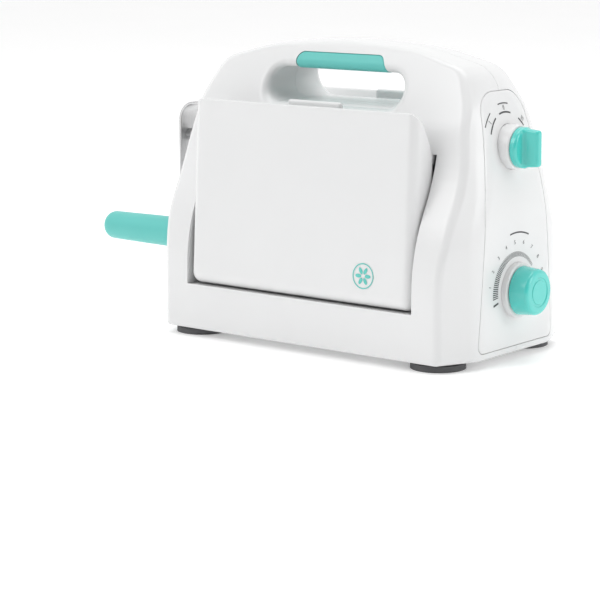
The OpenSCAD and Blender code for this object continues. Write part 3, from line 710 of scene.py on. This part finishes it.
def make_doors():
    """The moulded door covers, with the finger tab on the top edge."""
    face_distance = Outline(rounded(FACE), cell=0.6, margin=20)
    door_distance = Outline(rounded(DOOR), cell=0.5, margin=30)
    tab_distance = Outline(rounded([[62, 166, 0], [62, 202, 2.4], [56.8, 202, 2.4],
                                    [56.8, 166, 0]]), cell=0.4, margin=30)

    def field(x, y, z):
        x = np.abs(x)
        face = round_max(face_distance(y, z), x - DOOR_HALF, 9)
        cover = round_max(face, door_distance(y, z), 0.7)
        tab = round_max(tab_distance(y, z), x - 27, 2.2)
        return round_min(cover, tab, 2)

    door = build("rear_cover", *net(field, (-DOOR_HALF, 56, DOOR_BOTTOM - 1),
                                    (DOOR_HALF, 88, 202.5), 1.0))
    cut(door, prism(rounded(HOLLOW), "x", -DOOR_HALF + 3, DOOR_HALF - 3))
    hole = [[HINGE_Y + 2.55 * math.cos(a), HINGE_Z + 2.55 * math.sin(a)]
            for a in np.arange(32) * math.pi / 16]
    for side in (-1, 1):
        cut(door, prism(hole, "x", *sorted((side * 104, side * 130))))
    hook = prism([[57.5, 188], [57.5, 191], [45.5, 191], [45.5, 189.5]], "x", -12, 12, "hook")
    cut(door, hook, "UNION")
    shade(door)
    front = mirrored(door, "front_cover")
    finish_piece(door, WHITE, "rear_tray", "casing_white", "rear_door")
    finish_piece(front, WHITE, "front_tray", "casing_white", "front_door")


# ---- knobs, collars and crank ----

def ring(x0, x1, r_out, r_in, soft):
    """Profile of a flat ring with softened outer edges."""
    return [[x0, r_in], [x1 - 0.4, r_in], [x1, r_in + 0.4]] + [
        [x1 - soft + soft * math.sin(a), r_out - soft + soft * math.cos(a)]
        for a in np.linspace(math.pi / 2, 0, 7)] + [[x0, r_out]]


def make_collars():
    """The white rings behind both knobs."""
    for node, r_in in (("selector_collar", 5.3), ("dial_collar", 4.3)):
        x0, x1 = low(node)[0], high(node)[0]
        r = (high(node)[1] - low(node)[1]) / 2
        obj = lathe(node + "_ring", ring(x0, x1, r, r_in, 1.6), 0, middle(node)[2], 128)
        finish_piece(obj, WHITE, "casing", "casing_white", node)


def make_selector_knob():
    """A disc with a tapered bar across it."""
    x0, x1 = low("selector_knob")[0], high("selector_knob")[0]
    r = (high("selector_knob")[1] - low("selector_knob")[1]) / 2

    def field(x, y, z):
        z = z - SELECTOR_Z
        away = np.hypot(y, z)
        disc = round_max(away - r, x - (x0 + 5.5), 2.2)
        bar = round_max(np.abs(y) - 3.4 - 0.1 * (x1 - x), away - r + 0.2, 2.6)
        bar = round_max(bar, np.abs(z) - r + 0.14 * (x - x0 - 5), 3)
        bar = round_max(bar, x - x1, 2.2)
        solid = round_min(disc, bar, 3.2)
        return np.maximum(np.maximum(solid, away - r), x0 - x)

    knob = build("selector_turn_knob", *net(field, (x0, -r, SELECTOR_Z - r),
                                            (x1, r, SELECTOR_Z + r), 0.5))
    finish_piece(knob, MINT, "selector", "mint_soft", "selector_knob")


def make_dial_knob():
    """A round knob with a fine groove in its face."""
    x0, x1 = low("dial_knob")[0], high("dial_knob")[0]
    r = (high("dial_knob")[1] - low("dial_knob")[1]) / 2
    rim = 3.2
    profile = [[x0, 0], [x0, r - 0.6], [x0 + 0.6, r]]
    profile += [[x1 - rim + rim * math.sin(a), r - 1.2 - rim + rim * math.cos(a)]
                for a in np.linspace(0, math.pi / 2, 9)]
    groove = 11.4
    profile += [[x1, groove + 0.5], [x1 - 0.5, groove], [x1 - 0.5, groove - 1.6],
                [x1, groove - 2.1], [x1, 0]]
    knob = lathe("dial_turn_knob", profile, 0, DIAL_Z, 160)
    finish_piece(knob, MINT, "dial", "mint_soft", "dial_knob")


def make_crank_grip():
    """The hand grip, domed at its outer end and open on the spindle."""
    x0, x1 = low("crank_grip")[0], high("crank_grip")[0]
    wide = (high("crank_grip")[1] - low("crank_grip")[1]) / 2
    narrow = wide - 1.3
    dome = 9.4
    profile = [[x1, 4.1], [x1, wide - 1.9]]
    profile += [[x1 - 1.4 + 1.4 * math.cos(a), wide - 1.5 + 1.4 * math.sin(a)]
                for a in np.linspace(0.2, math.pi / 2, 5)]
    profile += [[x1 + t * (x0 + dome - x1), wide - 0.1 + t * (narrow - wide + 0.1)]
                for t in np.linspace(0.1, 1, 8)]
    profile += [[x0 + dome - dome * math.sin(a), narrow - dome + dome * math.cos(a)]
                for a in np.linspace(0, math.pi / 2, 14)[1:]]
    profile += [[x0, 1.2], [x0 + 0.5, 0], [x0 + 6, 0], [x0 + 6, 4.1]]
    grip = lathe("crank_hand_grip", profile, 0, GRIP_Z, 96)
    finish_piece(grip, MINT_SOFT, "hand_grip", "mint_soft", "crank_grip")


def make_crank_arm():
    """A flat bar bent over at the top, with holes for the bolt and the spindle."""
    x0 = low("crank_arm")[0]
    thick, width, bend = 2.4, 24.0, 17.0
    top = high("crank_arm")[2]
    end = high("crank_arm")[0]
    centre = (x0 + bend, top - bend)

    def field(x, y, z):
        across = np.abs(y) - width / 2
        mid = thick / 2
        upright = np.maximum(np.abs(x - x0 - mid) - mid, z - centre[1])
        flat_top = np.maximum(np.abs(z - top + mid) - mid, centre[0] - x)
        curve = np.abs(np.hypot(x - centre[0], z - centre[1]) - bend + mid) - mid
        curve = np.maximum(curve, np.maximum(x - centre[0], centre[1] - z))
        sheet = np.minimum(np.minimum(upright, flat_top), curve)
        foot = np.hypot(y, np.minimum(z - GRIP_Z, 0)) - width / 2
        edge = np.maximum(np.maximum(across, foot), x - end)
        return round_max(sheet, edge, 0.9)

    arm = build("crank_bent_arm", *net(field, (x0, -12, GRIP_Z - 12), (end, 12, top), 0.6))
    circle = np.arange(40) * math.pi / 20
    for z, r in ((CRANK_Z, 3.1), (GRIP_Z, 4.05)):
        hole = np.stack([r * np.cos(circle), z + r * np.sin(circle)], 1)
        cut(arm, prism(hole, "x", x0 - 5, x0 + 8))
    shade(arm)
    finish_piece(arm, STEEL_Z, "crank", "brushed_steel", "crank_arm")


def make_crank_hub():
    """The white cap between the arm and the casing."""
    x0, x1 = low("crank_hub")[0], high("crank_hub")[0]
    r = (high("crank_hub")[1] - low("crank_hub")[1]) / 2
    soft = 2.5
    profile = [[x0, 5.02], [x0, r - soft]]
    profile += [[x0 + soft - soft * math.cos(a), r - soft + soft * math.sin(a)]
                for a in np.linspace(0.3, math.pi / 2, 6)]
    profile += [[x1 - 0.6, r], [x1, r - 0.6], [x1, 5.02]]
    hub = lathe("crank_hub_cap", profile, 0, CRANK_Z, 96)
    finish_piece(hub, WHITE, "crank", "casing_white", "crank_hub")


def make_springs():
    """The pressure springs, which close up on the real machine as the selector lowers the preload
    frame; here a rigid copy of the CAD node on the carriage.
    """
    node = nodes["pressure_springs"]
    springs = bpy.data.objects.new("pressure_coil_springs", node.data.copy())
    bpy.context.collection.objects.link(springs)
    springs.matrix_world = node.matrix_world.copy()
    finish_piece(springs, STEEL_X, "carriage", "ground_steel", "pressure_springs")
    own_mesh(springs)


# ---- printed marks ----

def lay_on_panel(marks):
    """Drops flat marks, given as lists of [y, z] outlines, on the right-hand panel."""
    points, faces = [], []
    for mark in marks:
        first = len(points)
        points += [[0.0, p[0], p[1]] for p in mark]
        faces.append(list(range(first, first + len(mark))))
    points = np.array(points)
    x = np.full(len(points), 150.0)
    for _ in range(12):
        x = x - (casing(x, points[:, 1], points[:, 2]) - PRINT_DEPTH)
    points[:, 0] = x
    return points, faces


def arc_band(y, z, inner, outer, start, end, thin=1.0, steps=18):
    """An arc band about a shaft; angles run clockwise from the top as seen from outside."""
    turn = np.radians(np.linspace(start, end, steps))
    share = np.linspace(1, thin, steps)
    rim = inner + (outer - inner) * share
    ring_in = np.stack([y + inner * np.sin(turn), z + inner * np.cos(turn)], 1)
    ring_out = np.stack([y + rim * np.sin(turn), z + rim * np.cos(turn)], 1)
    return [[ring_in[i], ring_out[i], ring_out[i + 1], ring_in[i + 1]]
            for i in range(steps - 1)]


def numeral(text, y, z, size, turn=0.0):
    """A numeral as flat [y, z] polygons, read from the +x side."""
    curve = bpy.data.curves.new("numeral", "FONT")
    curve.body = text
    curve.align_x = "CENTER"
    curve.align_y = "CENTER"
    curve.size = size
    curve.resolution_u = 3
    obj = bpy.data.objects.new("numeral", curve)
    bpy.context.collection.objects.link(obj)
    bpy.context.view_layer.update()
    mesh = bpy.data.meshes.new_from_object(obj)
    c, s = math.cos(turn), math.sin(turn)
    out = [[[y + c * mesh.vertices[k].co.x + s * mesh.vertices[k].co.y,
             z - s * mesh.vertices[k].co.x + c * mesh.vertices[k].co.y]
            for k in face.vertices] for face in mesh.polygons]
    bpy.data.objects.remove(obj)
    bpy.data.curves.remove(curve)
    bpy.data.meshes.remove(mesh)
    return out


def make_dial_scale():
    """A band of ticks that thins out clockwise, numbers, and a plain arc over them."""
    marks = []
    for k in range(52):
        angle = -97 + 2.9 * k
        share = 1 - k / 75
        marks += arc_band(0, DIAL_Z, 26.4, 26.4 + 7.4 * share, angle,
                          angle + 0.6 + share, 1.0, 2)
    for k in range(9):
        angle = -80 + 19 * k
        a = math.radians(angle)
        marks += numeral(str(k + 1), 38 * math.sin(a), DIAL_Z + 38 * math.cos(a), 4.6, a)
    marks += arc_band(0, DIAL_Z, 45, 46.2, -12, 22, 1.0)
    marks += arc_band(0, DIAL_Z, 27, 34, -107, -104, 1.0, 3)
    scale = build("dial_scale", *lay_on_panel(marks))
    finish_piece(scale, INK, "casing", "casing_white")


def make_selector_marks():
    """Three numbered steps around the selector, with plain arcs."""
    marks = []
    for k, angle in enumerate((-48, 0, 48)):
        a = math.radians(angle)
        reach = 17 if k < 2 else 9
        marks += arc_band(0, SELECTOR_Z, 26.3, 27.6, angle - reach, angle + reach)
        if k < 2:
            marks += arc_band(0, SELECTOR_Z, 33.4, 34.3, angle - 12, angle + 12)
        marks += numeral("I" * (k + 1), 30.3 * math.sin(a), SELECTOR_Z + 30.3 * math.cos(a),
                         5.4, a)
    scale = build("selector_marks", *lay_on_panel(marks))
    finish_piece(scale, INK, "casing", "casing_white")


def make_door_motif():
    """A plain six-petal rosette printed in mint on the front door."""
    lean = math.atan2(HINGE_Y + NOSE_R - DOOR_LEAN, DOOR_TOP - DOOR_BOTTOM)
    points, faces = [], []
    middle_x, middle_z = 68.0, 70.0
    shapes = []
    for k in range(6):
        a = k * math.pi / 3
        petal = []
        for t in np.linspace(0, 2 * math.pi, 20, endpoint=False):
            u, v = 4.6 + 2.9 * math.cos(t), 1.5 * math.sin(t)
            petal.append([u * math.cos(a) - v * math.sin(a), u * math.sin(a) + v * math.cos(a)])
        shapes.append(petal)
    inner, outer = 9.3, 10.2
    turn = np.linspace(0, 2 * math.pi, 49)
    for i in range(48):
        shapes.append([[r * math.cos(t), r * math.sin(t)] for r, t in
                       ((inner, turn[i]), (outer, turn[i]),
                        (outer, turn[i + 1]), (inner, turn[i + 1]))])
    for shape in shapes:
        first = len(points)
        for u, v in shape:
            z = middle_z + v
            y = -(HINGE_Y + NOSE_R - (z - DOOR_BOTTOM) * math.tan(lean)) - 0.12
            points.append([middle_x + u, y, z])
        faces.append(list(range(first, first + len(shape))))
    motif = build("door_rosette", points, faces)
    finish_piece(motif, MINT_INK, "front_tray", "casing_white")


# ---- camera, light and floor ----

def make_camera():
    """Seen from the front right and a little above, through a long lens."""
    azimuth, elevation = math.radians(38), math.radians(8)
    back = Vector((math.sin(azimuth) * math.cos(elevation),
                   -math.cos(azimuth) * math.cos(elevation), math.sin(elevation)))
    data = bpy.data.cameras.new("camera")
    data.sensor_width = 36
    data.lens = 130.7
    data.shift_x = -0.055
    data.shift_y = -0.157
    camera = bpy.data.objects.new("camera", data)
    bpy.context.collection.objects.link(camera)
    camera.location = Vector((1.0839 + SHIFT[0] * 0.001, -1.4235, 0.3617))
    camera.rotation_euler = back.to_track_quat("Z", "Y").to_euler()
    bpy.context.scene.camera = camera


def area_light(name, place, target, size, power):
    """A soft rectangular light aimed at a point. Places are in metres, the power in watts."""
    data = bpy.data.lights.new(name, "AREA")
    data.shape = "RECTANGLE"
    data.size, data.size_y = size
    data.energy = power
    light = bpy.data.objects.new(name, data)
    bpy.context.collection.objects.link(light)
    light.location = place
    aim = Vector(place) - Vector(target)
    light.rotation_euler = aim.to_track_quat("Z", "Y").to_euler()


def make_studio():
    """A pale floor, three soft lights and the world around them."""
    mesh = bpy.data.meshes.new("floor")
    half = 30
    mesh.from_pydata([(-half, -half, 0), (half, -half, 0), (half, half, 0), (-half, half, 0)],
                     [], [(0, 1, 2, 3)])
    floor = bpy.data.objects.new("floor", mesh)
    bpy.context.collection.objects.link(floor)
    paper = Shader("floor_paper")
    paper.colour(paper.mix(paper.ramp(paper.noise(3, 3), 0, 1), (0.91, 0.91, 0.91),
                           (0.93, 0.93, 0.93)))
    paper.shader.inputs["Emission Color"].default_value = (1, 1, 1, 1)
    paper.shader.inputs["Emission Strength"].default_value = 0.20
    paper.roughness(paper.ramp(paper.noise(8, 3), 0.6, 0.75))
    mesh.materials.append(paper.material)
    make_world()
    scene = bpy.context.scene
    scene.view_settings.view_transform = "Standard"
    target = (0.05, 0, 0.12)
    area_light("key", (-0.9, -1.9, 1.9), target, (1.3, 1.3), 16)
    area_light("side", (2.5, 0.8, 1.0), target, (1.2, 1.4), 20)
    area_light("top", (0.1, 0.2, 2.5), target, (2.0, 1.4), 20)


def make_world():
    """A white tent that is a little darker on the side in front of the machine's corner."""
    world = bpy.data.worlds.new("studio")
    world.use_nodes = True
    tree = world.node_tree
    background = tree.nodes["Background"]
    place = tree.nodes.new("ShaderNodeTexCoord")
    toward = tree.nodes.new("ShaderNodeVectorMath")
    toward.operation = "DOT_PRODUCT"
    toward.inputs[1].default_value = (0.86, -0.50, 0.0)
    tree.links.new(place.outputs["Generated"], toward.inputs[0])
    shade_map = tree.nodes.new("ShaderNodeMapRange")
    shade_map.inputs["From Min"].default_value = 0.1
    shade_map.inputs["From Max"].default_value = 0.95
    shade_map.inputs["To Min"].default_value = 0.95
    shade_map.inputs["To Max"].default_value = 0.10
    tree.links.new(toward.outputs["Value"], shade_map.inputs["Value"])
    tree.links.new(shade_map.outputs["Result"], background.inputs["Strength"])
    background.inputs["Color"].default_value = (1, 1, 1, 1)
    bpy.context.scene.world = world


dress_cad_nodes()
make_camera()
make_studio()
make_casing()
make_side_panels()
make_handle_grip()
make_doors()
make_collars()
make_selector_knob()
make_dial_knob()
make_crank_grip()
make_crank_arm()
make_crank_hub()
make_springs()
make_dial_scale()
make_selector_marks()
make_door_motif()
